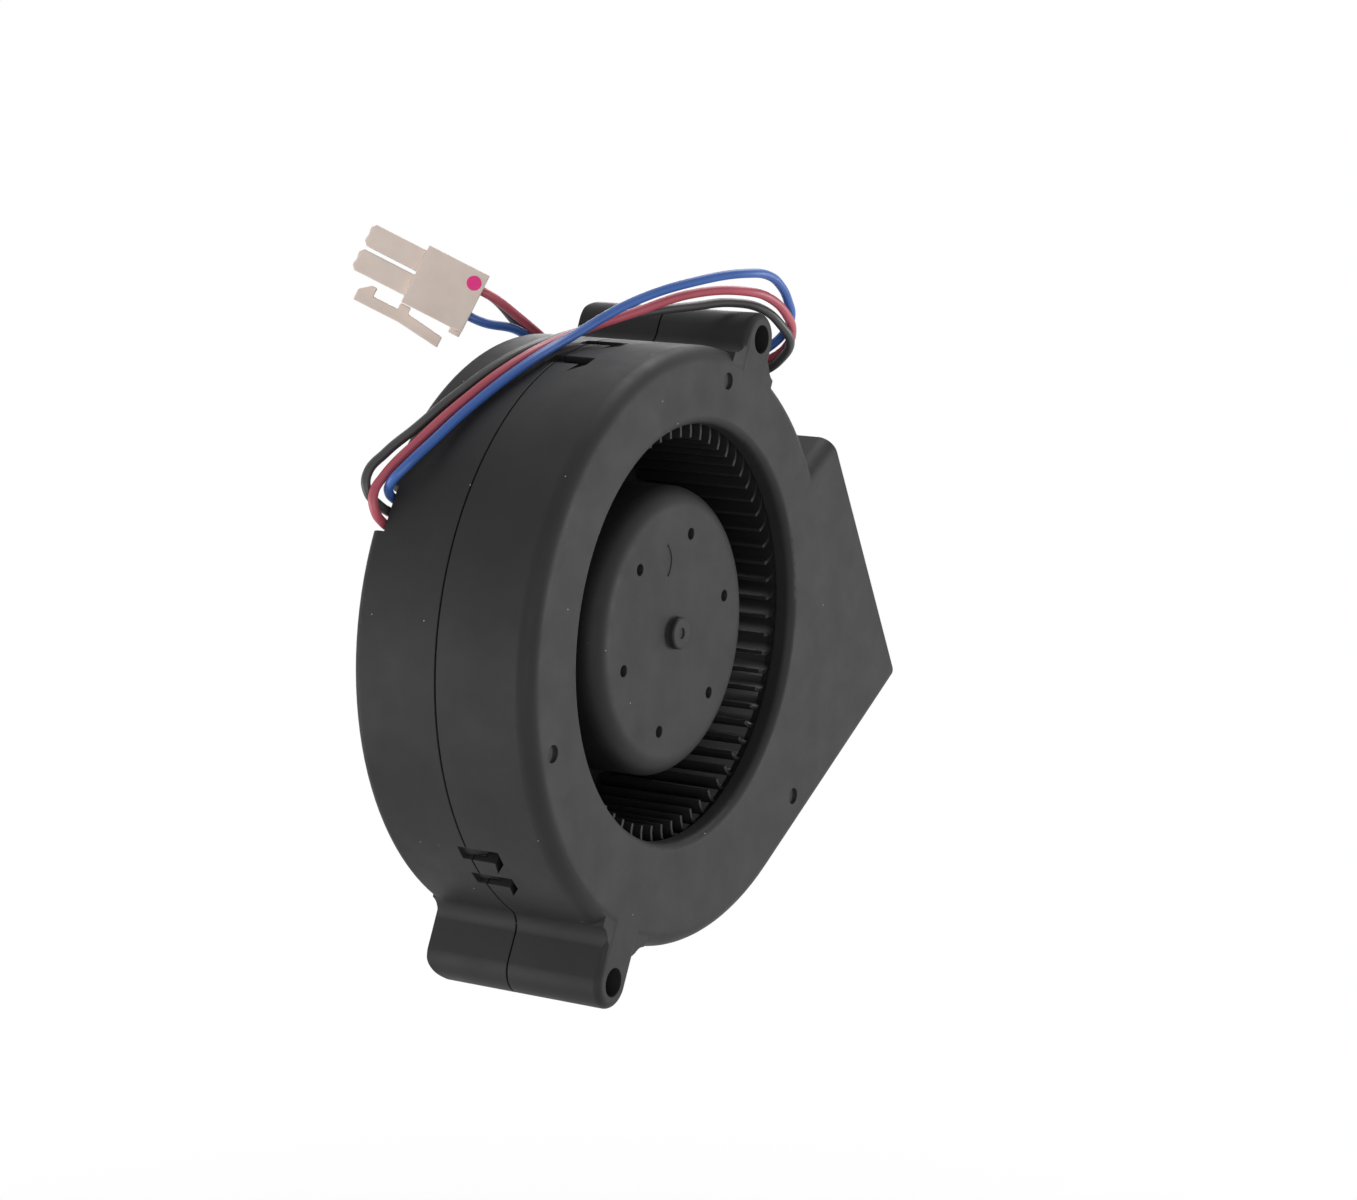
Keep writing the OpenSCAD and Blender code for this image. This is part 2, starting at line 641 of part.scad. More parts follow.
// Tube with eight sides swept along a list of points
function tangent(path, i) =
    let (n = len(path) - 1, d = path[min(i + 1, n)] - path[max(i - 1, 0)]) d / norm(d);
function carried(v, t) = let (w = v - (v * t) * t) w / norm(w);
function side_vectors(path, i = 0, v = [0.1, 0.2, 1]) =
    let (w = carried(v, tangent(path, i)))
    i == len(path) - 1 ? [w] : concat([w], side_vectors(path, i + 1, w));
module swept_tube(path, r, sides = 8) {
    across = side_vectors(path);
    last = len(path) - 1;
    points = [for (i = [0:last], k = [0:sides - 1])
        let (up = cross(tangent(path, i), across[i]), a = 360 * k / sides)
        path[i] + r * (cos(a) * across[i] + sin(a) * up)];
    skin = [for (i = [0:last - 1], k = [0:sides - 1])
        let (a = i * sides + k, b = i * sides + (k + 1) % sides)
        [a + sides, b + sides, b, a]];
    ends = [[for (k = [0:sides - 1]) k], [for (k = [sides - 1:-1:0]) last * sides + k]];
    polyhedron(points, concat(skin, ends));
}

module preload_spring() {
    turns = 2.5;
    steps = 30;
    low = front_bearing_top + spring_r + 0.03;
    rise = bush_foot - front_bearing_top - 2 * spring_r - 0.06;
    coil_r = (shaft_r + bush_r) / 2;
    color([0.7, 0.71, 0.73]) upright() swept_tube(
        [for (i = [0:steps]) let (a = 360 * turns * i / steps)
            [coil_r * cos(a), coil_r * sin(a), low + rise * i / steps]], spring_r);
}

module retaining_clip() {
    color([0.55, 0.56, 0.58]) upright() translate([0, 0, clip_z + 0.02]) difference() {
        cylinder(r = shaft_r * 2, h = clip_t - 0.04);
        translate([0, 0, -over]) cylinder(r = groove_r + fit_clear, h = clip_t + 2 * over);
        translate([0, -groove_r, -over]) cube([3 * shaft_r, 2 * groove_r, clip_t + 2 * over]);
    }
}

module at_bearings() {
    for (z = [rear_bearing_z, front_bearing_z]) translate([0, 0, z]) children();
}

module bearing_inner_rings() {
    color([0.78, 0.79, 0.8]) upright() at_bearings() rotate_extrude() difference() {
        translate([shaft_r + fit_clear, 0])
            square([ball_circle_r - race_half_gap - shaft_r - fit_clear, bearing_w]);
        translate([ball_circle_r, bearing_w / 2]) circle(ball_r + inner_race_clear);
    }
}

module bearing_balls() {
    color([0.85, 0.86, 0.87]) upright() at_bearings()
        for (i = [0:ball_count - 1]) rotate([0, 0, 360 * i / ball_count])
            translate([ball_circle_r, 0, bearing_w / 2]) sphere(ball_r);
}

module bearing_outer_rings() {
    color([0.72, 0.73, 0.75]) upright() at_bearings() rotate_extrude() difference() {
        translate([ball_circle_r + race_half_gap, 0])
            square([bearing_r - ball_circle_r - race_half_gap, bearing_w]);
        translate([ball_circle_r, bearing_w / 2]) circle(ball_r + outer_race_clear);
    }
}

module bearing_tube() {
    shoulder = 0.8;
    color([0.74, 0.6, 0.32]) upright() rotate_extrude() {
        translate([tube_in_r, wall]) square([tube_r - tube_in_r, front_bearing_top - wall]);
        translate([tube_in_r - shoulder, rear_bearing_z + bearing_w + fit_clear])
            square([shoulder + tube_t / 2, bearing_gap - 2 * fit_clear]);
    }
}

// Ring, necks and pole shoes of one layer of the stator
module stator_layer(z, h, ring_in, ring_out, neck, shoe_in, shoe_out, half_angle) {
    translate([0, 0, z]) {
        difference() {
            union() {
                cylinder(r = ring_out, h = h);
                for (i = [0:pole_count - 1]) rotate([0, 0, 360 * i / pole_count])
                    translate([ring_in, -neck / 2, 0]) cube([shoe_in + 0.6 - ring_in, neck, h]);
            }
            translate([0, 0, -over]) cylinder(r = ring_in, h = h + 2 * over);
        }
        for (i = [0:pole_count - 1])
            rotate([0, 0, 360 * i / pole_count - half_angle])
                rotate_extrude(angle = 2 * half_angle)
                    translate([shoe_in, 0]) square([shoe_out - shoe_in, h]);
    }
}

module stator_core() {
    color([0.5, 0.51, 0.53]) upright() stator_layer(stack_z, stack_l, tube_r + fit_clear,
        core_ring_r, neck_w, shoe_in_r, stator_r, shoe_half_angle);
}

// Thin end plate with a flange that keeps the coils in place
module insulator(z, flange_z) {
    flange_h = coil_t + insulator_t;
    stator_layer(z, insulator_t, tube_r + fit_clear, core_ring_r, neck_w + 0.6,
        shoe_in_r - 0.2, stator_r - 0.3, shoe_half_angle);
    for (i = [0:pole_count - 1])
        rotate([0, 0, 360 * i / pole_count - shoe_half_angle])
            rotate_extrude(angle = 2 * shoe_half_angle)
                translate([shoe_in_r - 0.2, flange_z]) square([0.8, flange_h]);
}

module front_insulator() {
    color([0.88, 0.86, 0.8]) upright() insulator(stack_top, stack_top);
}

module rear_insulator() {
    color([0.88, 0.86, 0.8]) upright()
        insulator(stack_z - insulator_t, stack_z - insulator_t - coil_t);
}

// Rectangle with round corners, centred on the origin
module rounded_rectangle(w, h, r) {
    square([w, h - 2 * r], center = true);
    square([w - 2 * r, h], center = true);
    for (x = [-1, 1], y = [-1, 1]) translate([x * (w / 2 - r), y * (h / 2 - r)]) circle(r);
}

module stator_coils() {
    slack = 0.05;
    inner_w = neck_w + 0.6 + 2 * slack;
    inner_h = stack_l + 2 * insulator_t + 2 * slack;
    middle = stack_z + stack_l / 2;
    color([0.72, 0.38, 0.2]) upright()
        for (i = [0:pole_count - 1]) rotate([0, 0, 360 * i / pole_count])
            intersection() {
                translate([coil_in_r, 0, middle]) rotate([90, 0, 90])
                    linear_extrude(shoe_in_r - coil_in_r) difference() {
                        rounded_rectangle(2 * coil_half_w, inner_h + 2 * coil_t - 4 * slack, coil_t);
                        square([inner_w, inner_h], center = true);
                    }
                translate([0, 0, middle - inner_h]) cylinder(r = coil_out_r, h = 2 * inner_h);
            }
}

module circuit_board() {
    color([0.1, 0.38, 0.22]) upright() translate([0, 0, board_z]) difference() {
        cylinder(r = board_r, h = board_t);
        translate([0, 0, -over]) cylinder(r = boss_r + 0.2, h = board_t + 2 * over);
    }
}

// Puts a small block on the circuit board, at a distance and direction from the rotor axis
module on_board(r, a, size) {
    rotate([0, 0, a]) translate([r - size.x / 2, -size.y / 2, board_z + board_t]) cube(size);
}

module hall_sensor() {
    color([0.12, 0.12, 0.13]) upright() on_board(board_r - 0.9, 45, [1.5, 3, 2]);
}

module driver_chip() {
    color([0.1, 0.1, 0.11]) upright() on_board((boss_r + board_r) / 2, 225, [3.6, 4, 1.5]);
}

module board_resistors() {
    color([0.08, 0.08, 0.09]) upright() for (a = [135, 315], y = [-1, 1])
        rotate([0, 0, y * 6]) on_board((boss_r + board_r) / 2, a, [1.6, 0.8, 0.6]);
}

// Where a lead runs straight into its cavity of the plug
function plug_end(row, side) = [for (x = [lead_straight, -lead_seat])
    in_plug([x, row * half_pitch + row_shift, side * half_pitch])];

module lead(route, row, side) {
    upright() swept_tube(concat(route, plug_end(row, side)), lead_d / 2);
}

module lead_red() {
    color([0.72, 0.24, 0.3]) lead(red_route, 1, 1);
}

module lead_blue() {
    color([0.2, 0.36, 0.72]) lead(blue_route, -1, 1);
}

module lead_black() {
    color([0.1, 0.1, 0.1]) lead(black_route, 1, -1);
}

// Places its children in the plug: x towards the leads, y away from the latch
module at_plug() {
    upright() translate(plug_place) rotate(plug_turn) children();
}

module at_cavities(which) {
    for (c = which) translate([0, c[0] * half_pitch + row_shift, c[1] * half_pitch]) children();
}

// Outline of one silo seen from the side, with its chamfered tip
module silo_outline() {
    tip_cut = 0.6;
    half = silo_w / 2;
    tip = plug_l + silo_l;
    polygon([[-plug_l / 2, -half], [-tip + tip_cut, -half], [-tip, -half + tip_cut],
        [-tip, half - tip_cut], [-tip + tip_cut, half], [-plug_l / 2, half]]);
}

module plug_housing() {
    cavities = [[1, 1], [1, -1], [-1, 1], [-1, -1]];
    foot_l = 1.8;
    foot_h = 0.85;
    color([0.93, 0.9, 0.84]) at_plug() difference() {
        union() {
            translate([-plug_l, -plug_w / 2, -plug_w / 2]) cube([plug_l, plug_w, plug_w]);
            translate([-foot_l, -plug_w / 2 - foot_h, -latch_w / 2])
                cube([foot_l, plug_w / 2, latch_w]);
            at_cavities(cavities) intersection() {
                linear_extrude(silo_w, center = true) silo_outline();
                rotate([90, 0, 0]) linear_extrude(silo_w, center = true) silo_outline();
            }
        }
        at_cavities(cavities) rotate([0, -90, 0])
            translate([0, 0, -over]) cylinder(r = cavity_r, h = plug_l + silo_l + 2 * over);
    }
}

// Rocking lever: the hook at one end, the finger tail at the other, a web at the pivot
module plug_latch() {
    web_h = latch_gap - 0.15;
    tail_drop = latch_tail * tan(latch_tilt);
    hook_l = 2.6;
    hook_slope = 1.7;
    color([0.93, 0.9, 0.84]) at_plug() translate([latch_pivot.x, latch_pivot.y, 0])
        linear_extrude(latch_w, center = true)
            polygon([[-latch_front, -latch_t], [0, -latch_t], [latch_tail, -latch_t - tail_drop],
                [latch_tail, -tail_drop], [web_t / 2, 0], [web_t / 2, web_h], [-web_t / 2, web_h],
                [-web_t / 2, 0], [hook_l - latch_front, 0], [hook_l - latch_front, hook_h],
                [hook_slope - latch_front, hook_h], [-latch_front, 0]]);
}

module plug_contacts() {
    color([0.8, 0.74, 0.55]) at_plug() at_cavities([[1, 1], [1, -1], [-1, 1]])
        translate([-lead_seat, 0, 0]) rotate([0, -90, 0]) difference() {
            cylinder(r = contact_r, h = contact_l);
            translate([0, 0, contact_l / 2]) cylinder(r = contact_r - 0.3, h = contact_l);
        }
}

front_shell();
rear_shell();
impeller();
rotor_cup();
magnet_ring();
shaft();
shaft_bush();
preload_spring();
retaining_clip();
bearing_inner_rings();
bearing_balls();
bearing_outer_rings();
bearing_tube();
stator_core();
front_insulator();
rear_insulator();
stator_coils();
circuit_board();
hall_sensor();
driver_chip();
board_resistors();
lead_red();
lead_blue();
lead_black();
plug_housing();
plug_latch();
plug_contacts();
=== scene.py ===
import json
import math
from collections import namedtuple

import bmesh
import bpy
from mathutils import Matrix, Vector


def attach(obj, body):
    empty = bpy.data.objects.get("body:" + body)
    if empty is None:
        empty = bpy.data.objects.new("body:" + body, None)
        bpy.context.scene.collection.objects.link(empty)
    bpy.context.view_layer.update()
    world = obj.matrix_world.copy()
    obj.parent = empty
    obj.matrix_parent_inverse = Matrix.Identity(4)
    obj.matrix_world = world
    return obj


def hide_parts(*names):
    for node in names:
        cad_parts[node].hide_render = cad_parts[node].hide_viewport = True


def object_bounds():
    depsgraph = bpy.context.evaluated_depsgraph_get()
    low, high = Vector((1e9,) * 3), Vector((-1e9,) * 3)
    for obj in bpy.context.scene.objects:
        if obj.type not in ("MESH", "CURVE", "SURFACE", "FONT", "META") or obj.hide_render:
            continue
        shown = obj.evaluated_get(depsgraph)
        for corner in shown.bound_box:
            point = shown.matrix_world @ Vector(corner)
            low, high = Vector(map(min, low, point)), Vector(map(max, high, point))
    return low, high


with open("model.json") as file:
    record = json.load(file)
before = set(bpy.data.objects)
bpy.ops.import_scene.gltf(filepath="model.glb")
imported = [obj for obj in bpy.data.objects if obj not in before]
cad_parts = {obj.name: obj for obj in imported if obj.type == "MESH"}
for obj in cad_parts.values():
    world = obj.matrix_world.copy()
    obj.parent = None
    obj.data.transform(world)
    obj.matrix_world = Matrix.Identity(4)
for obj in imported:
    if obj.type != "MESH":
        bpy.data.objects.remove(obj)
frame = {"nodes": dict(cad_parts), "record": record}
cad_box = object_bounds()

MM = 0.001


# Camera at the photograph's viewing angle

CAMERA_PLACE = Vector((-435.1, -286.2, 108.0)) * MM
CAMERA_AZIMUTH = math.radians(-59.37)
CAMERA_ELEVATION = math.radians(11.5)
CAMERA_LENS = 90.2
CAMERA_SENSOR = 36.0
CAMERA_NEAREST = 0.01


def place_camera():
    level = math.cos(CAMERA_ELEVATION)
    back = Vector((math.sin(CAMERA_AZIMUTH) * level, -math.cos(CAMERA_AZIMUTH) * level,
                   math.sin(CAMERA_ELEVATION)))
    lens = bpy.data.cameras.new("photo_camera")
    lens.lens = CAMERA_LENS
    lens.sensor_width = CAMERA_SENSOR
    lens.clip_start = CAMERA_NEAREST
    camera = bpy.data.objects.new("photo_camera", lens)
    camera.location = CAMERA_PLACE
    camera.rotation_euler = (-back).to_track_quat("-Z", "Y").to_euler()
    bpy.context.scene.collection.objects.link(camera)
    bpy.context.scene.camera = camera


place_camera()


# Leads, from the circuit board through the channel in the rear face, over the scroll, round the
# upper ear and behind the housing into the plug. Points in millimetres: right, up and height
# above the rear face

LEAD_DIAMETER = 1.45
LEAD_ROUTES = {
    "blue": [
        (-9.6, 8.2, 2.8), (-12.6, 10, 2), (-16.1, 12.1, 1.2), (-34.1, 22.9, 1.1),
        (-36.6, 24.6, 1.3), (-38, 26.5, 2.7), (-37, 28.8, 4.6), (-32.6, 32.2, 6.5),
        (-26.7, 36.4, 8.8), (-16.7, 41.9, 12.2), (-6.4, 45.4, 14.4), (3, 49.7, 19),
        (11, 52.3, 25), (19.2, 53.1, 30), (23.6, 52.3, 31), (26.9, 50.4, 31.2),
        (29.7, 47.8, 30.9), (32.1, 45.1, 30.1), (33.4, 42.4, 28.3), (33.1, 39.8, 25.5),
        (32.4, 37, 20.8), (30.6, 35.6, 11.8), (28.7, 35.9, 2.7), (26.5, 35.8, -2.3),
        (22.6, 35.7, -3.7), (17.5, 37, -3.8), (12.5, 39.6, -4.2), (7.5, 43.3, -5)],
    "red": [
        (-11.8, 4.6, 2.8), (-14.8, 6.4, 2), (-18.2, 8.5, 1.2), (-36.2, 19.3, 1.1),
        (-38.1, 20.5, 1.1), (-39.8, 22.3, 1.1), (-39.7, 24.7, 0.7), (-37.4, 27.1, 0.9),
        (-32.1, 32.2, 3.9), (-26.1, 37, 7), (-16, 42.3, 10.5), (-5, 45.1, 12.8),
        (4.6, 47.8, 18), (12.7, 50.3, 24), (20.3, 50.1, 29.1), (25.2, 48.5, 30.5),
        (29.2, 45.6, 31), (32.1, 42.8, 30.3), (33.6, 40.1, 28.5), (34.1, 37.8, 25),
        (34.3, 36.2, 19.6), (33.1, 35.8, 10.9), (31.2, 36.4, 2.7), (28.6, 37.5, -1.7),
        (23.5, 37.6, -3.4), (16.5, 39.2, -3.4), (11.5, 42.3, -3.6), (7.3, 45.3, -4.5)],
    "black": [
        (-10.7, 6.4, 2.8), (-13.7, 8.2, 2), (-17.1, 10.3, 1.2), (-35.1, 21.1, 1.1),
        (-37.5, 22.8, 0.2), (-39, 25, -0.8), (-38.5, 27.4, -1.2), (-35.4, 30.3, 0),
        (-31.1, 33.4, 2.2), (-25.3, 37.7, 5.2), (-15.2, 42.7, 8.8), (-1.3, 45.1, 11.8),
        (8.1, 47.4, 18), (15.3, 48, 22.5), (20.6, 48.2, 26.1), (25.1, 46.9, 28.9),
        (28.6, 44, 30.4), (31.2, 41.2, 30.5), (32.7, 38.3, 28.1), (33.3, 35.9, 24.4),
        (32.9, 34.2, 18.3), (31.8, 33.9, 9.8), (30.4, 34.6, 1.9), (28, 35.3, -3.2),
        (24, 36, -5.2), (18, 38, -5.4), (13.5, 40.9, -5.8), (9.2, 44.3, -6.5)],
}
LEAD_CURVE_STEPS = 10
LEAD_ROUND_STEPS = 5

# Plug: middle of its wire face, its turn about each axis, and the contact row and side that
# each lead goes to
PLUG_PLACE = Vector((3.6, 47.5, -10.4))
PLUG_TURN = (29.5, -49, -44.5)
CONTACT_HALF_PITCH = 2.1
CONTACT_ROW_SHIFT = 0.1
LEAD_SEATS = {"blue": (-1, 1), "red": (1, 1), "black": (1, -1)}
LEAD_STRAIGHT = 2.0
LEAD_SEAT_DEPTH = 3.0


def upright(point):
    """From the drawing's right, up and height to the frame's metres."""
    right, up, height = point
    return Vector((right, -height, up)) * MM


def plug_matrix():
    """From the plug's own millimetres to the frame's metres: x towards the leads, y away from
    the latch, z out of the face with the paint dot."""
    turn = Matrix.Identity(3)
    for angle, axis in zip(PLUG_TURN, "XYZ"):
        turn = Matrix.Rotation(math.radians(angle), 3, axis) @ turn
    drawing = Matrix.Translation(PLUG_PLACE) @ turn.to_4x4()
    stand_up = Matrix.Rotation(math.radians(90), 4, "X")
    return Matrix.Scale(MM, 4) @ stand_up @ drawing


IN_PLUG = plug_matrix()


def make_lead(colour):
    row, side = LEAD_SEATS[colour]
    points = [upright(p) for p in LEAD_ROUTES[colour]]
    for along in (LEAD_STRAIGHT, -LEAD_SEAT_DEPTH):
        seat = Vector((along, row * CONTACT_HALF_PITCH + CONTACT_ROW_SHIFT,
                       side * CONTACT_HALF_PITCH))
        points.append(IN_PLUG @ seat)
    line = bpy.data.curves.new("lead_" + colour, "CURVE")
    line.dimensions = "3D"
    line.resolution_u = LEAD_CURVE_STEPS
    line.bevel_depth = 1.0  # a depth of one leaves the thickness to the radius of each point
    line.bevel_resolution = LEAD_ROUND_STEPS
    line.use_fill_caps = True
    spline = line.splines.new("BEZIER")
    spline.bezier_points.add(len(points) - 1)
    for knot, point in zip(spline.bezier_points, points):
        knot.co = point
        knot.radius = LEAD_DIAMETER / 2 * MM
        knot.handle_left_type = "AUTO"
        knot.handle_right_type = "AUTO"
    lead = bpy.data.objects.new("insulated_lead_" + colour, line)
    bpy.context.scene.collection.objects.link(lead)
    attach(lead, "housing")
    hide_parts("lead_" + colour)
    return lead


leads = {colour: make_lead(colour) for colour in LEAD_ROUTES}


# Finishes, textured on each piece's own coordinates: waves are per metre, depths, spacings and
# sizes in millimetres

NOISE_ROUGHNESS = 0.5
NOISE_MIDDLE = (0.3, 0.7)
GRAIN_DETAIL = 2
SATIN_SPECULAR = 0.2
DUST_SPACING = 2.2
DUST_SIZE = 0.11
DUST_COLOUR = (0.35, 0.34, 0.33)
NYLON_GLOW = 0.25
NYLON_GLOW_DEPTH = 0.8
NYLON_GLOW_SPREAD = (0.6, 0.5, 0.42)

Cloud = namedtuple("Cloud", "waves detail")
Gloss = namedtuple("Gloss", "waves detail low high noise_roughness", defaults=[NOISE_ROUGHNESS])
Grain = namedtuple("Grain", "waves strength depth")


def finish(name):
    material = bpy.data.materials.new(name)
    material.use_nodes = True
    return material


def shader_of(material):
    return material.node_tree.nodes["Principled BSDF"]


def add_node(tree, kind, **settings):
    node = tree.nodes.new(kind)
    for key, value in settings.items():
        setattr(node, key, value)
    return node


def object_noise(tree, waves, detail, roughness=NOISE_ROUGHNESS):
    """Noise on the piece's own coordinates."""
    place = add_node(tree, "ShaderNodeTexCoord")
    noise = add_node(tree, "ShaderNodeTexNoise")
    noise.inputs["Scale"].default_value = waves
    noise.inputs["Detail"].default_value = detail
    noise.inputs["Roughness"].default_value = roughness
    tree.links.new(place.outputs["Object"], noise.inputs["Vector"])
    return noise.outputs["Fac"]


def spread(tree, source, low, high, middle=NOISE_MIDDLE):
    """Maps the middle range of a source to the values from low to high."""
    start, stop = middle
    span = add_node(tree, "ShaderNodeMapRange")
    span.inputs["From Min"].default_value = start
    span.inputs["From Max"].default_value = stop
    span.inputs["To Min"].default_value = low
    span.inputs["To Max"].default_value = high
    tree.links.new(source, span.inputs["Value"])
    return span.outputs["Result"]


def colour_socket(sockets, name):
    return next(s for s in sockets if s.name == name and s.type == "RGBA")


def blend_colours(tree, share, first, second):
    """Blends two colours, each a fixed one or the output of another node."""
    mix = add_node(tree, "ShaderNodeMix", data_type="RGBA")
    for name, colour in (("A", first), ("B", second)):
        socket = colour_socket(mix.inputs, name)
        if isinstance(colour, tuple):
            socket.default_value = (*colour, 1.0)
        else:
            tree.links.new(colour, socket)
    tree.links.new(share, mix.inputs["Factor"])
    return colour_socket(mix.outputs, "Result")


def cloud_colour(tree, cloud, dark, light):
    """A colour that drifts between dark and light."""
    drift = spread(tree, object_noise(tree, cloud.waves, cloud.detail), 0.0, 1.0)
    return blend_colours(tree, drift, dark, light)


def dust_specks(tree, share):
    """Scattered specks of dust on a share of the cells: 1 on a speck, 0 elsewhere."""
    place = add_node(tree, "ShaderNodeTexCoord")
    cells = add_node(tree, "ShaderNodeTexVoronoi")
    cells.inputs["Scale"].default_value = 1.0 / (DUST_SPACING * MM)
    tree.links.new(place.outputs["Object"], cells.inputs["Vector"])
    near = add_node(tree, "ShaderNodeMath", operation="LESS_THAN")
    near.inputs[1].default_value = DUST_SIZE / DUST_SPACING
    tree.links.new(cells.outputs["Distance"], near.inputs[0])
    pick = add_node(tree, "ShaderNodeSeparateColor")
    tree.links.new(cells.outputs["Color"], pick.inputs["Color"])
    chosen = add_node(tree, "ShaderNodeMath", operation="LESS_THAN")
    chosen.inputs[1].default_value = share
    tree.links.new(pick.outputs["Red"], chosen.inputs[0])
    both = add_node(tree, "ShaderNodeMath", operation="MULTIPLY")
    tree.links.new(near.outputs["Value"], both.inputs[0])
    tree.links.new(chosen.outputs["Value"], both.inputs[1])
    return both.outputs["Value"]


def lay_finish(material, colour, gloss, grain=None):
    """Gives a material its colour, an uneven gloss and, where it has one, a fine raised grain."""
    tree = material.node_tree
    shader = shader_of(material)
    tree.links.new(colour, shader.inputs["Base Color"])
    shine = object_noise(tree, gloss.waves, gloss.detail, gloss.noise_roughness)
    tree.links.new(spread(tree, shine, gloss.low, gloss.high), shader.inputs["Roughness"])
    if grain:
        bump = add_node(tree, "ShaderNodeBump")
        bump.inputs["Strength"].default_value = grain.strength
        bump.inputs["Distance"].default_value = grain.depth * MM
        tree.links.new(object_noise(tree, grain.waves, GRAIN_DETAIL), bump.inputs["Height"])
        tree.links.new(bump.outputs["Normal"], shader.inputs["Normal"])


def black_moulding(name, dark, light, roughness, dust):
    """Black moulded plastic: fine spark-eroded grain, faint handling marks and a little dust."""
    material = finish(name)
    tree = material.node_tree
    clean = cloud_colour(tree, Cloud(waves=70, detail=4), dark, light)
    dusty = blend_colours(tree, dust_specks(tree, dust), clean, DUST_COLOUR)
    lay_finish(material, dusty,
               Gloss(waves=160, detail=5, low=roughness - 0.05, high=roughness + 0.06,
                     noise_roughness=0.6),
               Grain(waves=5200, strength=0.18, depth=0.03))
    shader_of(material).inputs["Specular IOR Level"].default_value = SATIN_SPECULAR
    return material


def lead_insulation(name, dark, light):
    """Soft lead insulation with a slight sheen and faint drawing marks."""
    material = finish(name)
    colour = cloud_colour(material.node_tree, Cloud(waves=140, detail=3), dark, light)
    lay_finish(material, colour, Gloss(waves=700, detail=3, low=0.36, high=0.46),
               Grain(waves=1500, strength=0.08, depth=0.03))
    return material


def natural_nylon(name, dark, light):
    """Natural nylon of the plug: warm off-white, slightly translucent, satin."""
    material = finish(name)
    colour = cloud_colour(material.node_tree, Cloud(waves=260, detail=4), dark, light)
    lay_finish(material, colour, Gloss(waves=900, detail=3, low=0.42, high=0.54),
               Grain(waves=3200, strength=0.12, depth=0.03))
    shader = shader_of(material)
    shader.inputs["Subsurface Weight"].default_value = NYLON_GLOW
    shader.inputs["Subsurface Radius"].default_value = NYLON_GLOW_SPREAD
    shader.inputs["Subsurface Scale"].default_value = NYLON_GLOW_DEPTH * MM
    return material


def paint(name, thin, full):
    """Paint from a marker pen, a little uneven."""
    material = finish(name)
    colour = cloud_colour(material.node_tree, Cloud(waves=1400, detail=3), thin, full)
    lay_finish(material, colour, Gloss(waves=2600, detail=2, low=0.3, high=0.42))
    shader_of(material).inputs["Specular IOR Level"].default_value = SATIN_SPECULAR
    return material


def turned_metal(name, dark, light, roughness, lines):
    """Machined or drawn metal with fine marks."""
    material = finish(name)
    colour = cloud_colour(material.node_tree, Cloud(waves=lines, detail=4), dark, light)
    lay_finish(material, colour,
               Gloss(waves=lines * 3, detail=3, low=roughness - 0.06, high=roughness + 0.08),
               Grain(waves=lines * 6, strength=0.1, depth=0.02))
    shader_of(material).inputs["Metallic"].default_value = 1.0
    return material


def plain_moulding(name, dark, light, roughness):
    """Small moulded or pressed inner pieces and the circuit board."""
    material = finish(name)
    colour = cloud_colour(material.node_tree, Cloud(waves=500, detail=4), dark, light)
    lay_finish(material, colour,
               Gloss(waves=1200, detail=3, low=roughness - 0.06, high=roughness + 0.06),
               Grain(waves=3000, strength=0.12, depth=0.02))
    return material


FINISHES = {
    "shell_plastic": black_moulding(
        "shell_black", (0.018, 0.018, 0.019), (0.024, 0.024, 0.025), roughness=0.54, dust=0.12),
    "impeller_plastic": black_moulding(
        "impeller_black", (0.015, 0.015, 0.016), (0.020, 0.020, 0.021), roughness=0.54, dust=0.05),
    "cup_steel": turned_metal(
        "drawn_steel", (0.48, 0.49, 0.51), (0.62, 0.63, 0.65), roughness=0.35, lines=400),
    "magnet": plain_moulding(
        "bonded_ferrite", (0.05, 0.047, 0.045), (0.08, 0.075, 0.07), roughness=0.7),
    "bearing_steel": turned_metal(
        "ground_steel", (0.68, 0.69, 0.71), (0.8, 0.81, 0.82), roughness=0.2, lines=600),
    "brass": turned_metal(
        "turned_brass", (0.66, 0.47, 0.2), (0.78, 0.6, 0.3), roughness=0.3, lines=500),
    "core_steel": turned_metal(
        "core_laminations", (0.3, 0.3, 0.32), (0.42, 0.43, 0.45), roughness=0.45, lines=900),
    "insulator_plastic": plain_moulding(
        "insulator_nylon", (0.74, 0.7, 0.62), (0.82, 0.79, 0.72), roughness=0.5),
    "winding_copper": turned_metal(
        "lacquered_copper", (0.55, 0.24, 0.1), (0.72, 0.36, 0.18), roughness=0.3, lines=1500),
    "board": plain_moulding(
        "solder_mask", (0.02, 0.13, 0.06), (0.03, 0.2, 0.1), roughness=0.3),
    "chip_plastic": plain_moulding(
        "chip_resin", (0.015, 0.015, 0.016), (0.03, 0.03, 0.032), roughness=0.5),
    "lead_red": lead_insulation("red_insulation", (0.45, 0.08, 0.11), (0.53, 0.105, 0.14)),
    "lead_blue": lead_insulation("blue_insulation", (0.038, 0.115, 0.40), (0.053, 0.15, 0.47)),
    "lead_black": lead_insulation("black_insulation", (0.04, 0.039, 0.04), (0.052, 0.05, 0.051)),
    "plug_nylon": natural_nylon("plug_nylon", (0.80, 0.675, 0.595), (0.86, 0.735, 0.655)),
    "contact_metal": turned_metal(
        "tinned_brass", (0.55, 0.5, 0.4), (0.7, 0.66, 0.56), roughness=0.3, lines=900),
}
DOT_PAINT = paint("pink_paint", (0.94, 0.03, 0.27), (1.0, 0.02, 0.28))


def dress(piece, material):
    piece.data.materials.clear()
    piece.data.materials.append(material)


for part in frame["record"]["subparts"]:
    dress(frame["nodes"][part["node"]], FINISHES[part["material_slot"]])
for colour, lead in leads.items():
    dress(lead, FINISHES["lead_" + colour])


